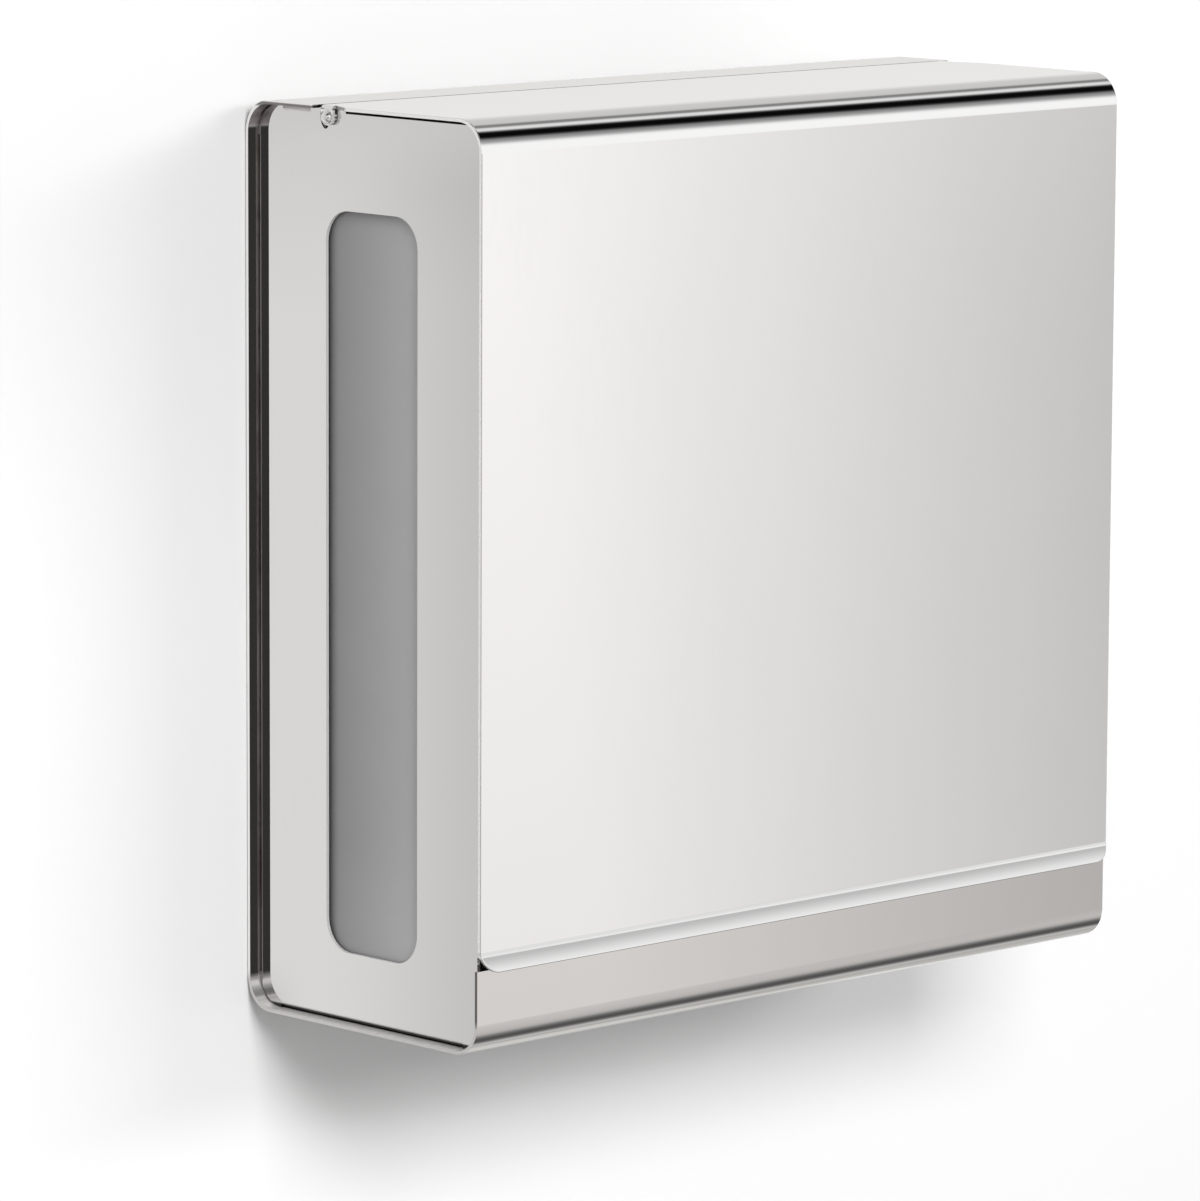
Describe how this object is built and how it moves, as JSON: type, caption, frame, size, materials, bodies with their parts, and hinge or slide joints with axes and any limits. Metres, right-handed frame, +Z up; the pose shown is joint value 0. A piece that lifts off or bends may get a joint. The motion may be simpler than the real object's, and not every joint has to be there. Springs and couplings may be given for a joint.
{
  "type": "paper towel dispenser",
  "caption": "Wall-hung folded paper towel dispenser in bright polished sheet steel, with a top-hinged front cover, side level windows and a dispensing mouth in the bottom.",
  "frame": {"origin": "centre of the wall face, which is the back of the case", "axes": "+Z up, +Y into the wall, -Y the front, +X to the right as seen from the front"},
  "size_m": [0.266, 0.1031, 0.27],
  "materials": {
    "case_steel": "bright polished stainless steel",
    "cover_steel": "bright polished stainless steel",
    "panel_steel": "bright polished stainless steel",
    "foam": "closed-cell foam",
    "frosted_pane": "frosted translucent acrylic",
    "rivet_steel": "bright steel",
    "sleeve_steel": "bright turned steel",
    "washer_steel": "plain steel"
  },
  "bodies": {
    "case": {"case_wrap": "case_steel", "side_panel_left": "panel_steel", "side_panel_right": "panel_steel", "window_gasket_left": "foam", "window_gasket_right": "foam", "window_pane_left": "frosted_pane", "window_pane_right": "frosted_pane", "hinge_rivet_left": "rivet_steel", "hinge_rivet_right": "rivet_steel", "hinge_spacer_left": "sleeve_steel", "hinge_spacer_right": "sleeve_steel", "hinge_washer_left": "washer_steel", "hinge_washer_right": "washer_steel"},
    "cover_sheet": {"cover": "cover_steel"}
  },
  "joints": [
    {"name": "cover_hinge", "type": "hinge", "parent": "case", "child": "cover_sheet", "pos_m": [0, -0.03275, 0.1316], "axis": [-1, 0, 0], "range_deg": [0, 85]}
  ]
}
